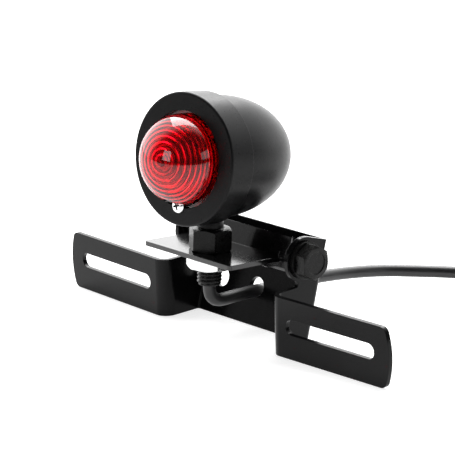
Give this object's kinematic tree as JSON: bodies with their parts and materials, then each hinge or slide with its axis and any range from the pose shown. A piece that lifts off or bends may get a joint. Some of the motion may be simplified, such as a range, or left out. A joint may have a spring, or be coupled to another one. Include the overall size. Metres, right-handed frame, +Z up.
{
  "type": "motorcycle tail light",
  "caption": "Round bullet tail light on a hinged shelf, carried by a folded number-plate bar with slotted wings, with its cable.",
  "frame": {"origin": "middle of the bracket and lamp, on the surface that the bracket's lower edges stand on", "axes": "+X along the number-plate bar, +Y towards the machine, +Z up"},
  "size_m": [0.2025, 0.1912, 0.106],
  "materials": {
    "gloss_black_paint": "gloss black powder coat",
    "black_zinc": "black oxide on steel fasteners",
    "zinc_plate": "bright zinc plate",
    "lamp_black": "satin black paint",
    "lens_red": "clear red moulded plastic lens",
    "chrome_screw": "polished chrome",
    "rubber_black": "black rubber",
    "reflector_silver": "bright metallised",
    "brass": "plain brass",
    "bulb_glass": "clear glass",
    "cable_black": "satin black cable jacket",
    "wire_jacket": "coloured wire insulation",
    "terminal_tin": "tinned brass"
  },
  "bodies": {
    "bracket": {"plate_bar": "gloss_black_paint", "pivot_washer": "black_zinc", "cord_flex": "cable_black", "cord_lead": "cable_black", "cord_coil": "cable_black", "cord_sleeve": "rubber_black", "wire_tails": "wire_jacket", "wire_terminals": "terminal_tin"},
    "yoke": {"lamp_yoke": "gloss_black_paint", "pivot_bolt": "black_zinc", "pivot_pin": "black_zinc"},
    "lamp": {"mounting_stud": "black_zinc", "stem_nut": "black_zinc", "lower_nut": "zinc_plate", "stud_inner_nut": "zinc_plate", "lamp_housing": "lamp_black", "lamp_bezel": "lamp_black", "lens": "lens_red", "lens_screw": "chrome_screw", "lens_gasket": "rubber_black", "reflector": "reflector_silver", "bulb_holder": "zinc_plate", "bulb_cap": "brass", "bulb_glass": "bulb_glass", "bulb_contacts": "brass", "bulb_strap": "zinc_plate", "lamp_wires": "wire_jacket", "cord_riser": "cable_black"}
  },
  "joints": [
    {"name": "lamp_tilt", "type": "hinge", "parent": "bracket", "child": "yoke", "pos_m": [0, 0.0171, 0.0358], "axis": [1, 0, 0], "range_deg": [-25, 20], "deforming": ["cord_flex"]},
    {"name": "lamp_swivel", "type": "hinge", "parent": "yoke", "child": "lamp", "pos_m": [0.0008, -0.0038, 0.03789], "axis": [0, 0.0732, 0.9973], "range_deg": [-40, 40], "deforming": ["cord_flex"]}
  ]
}
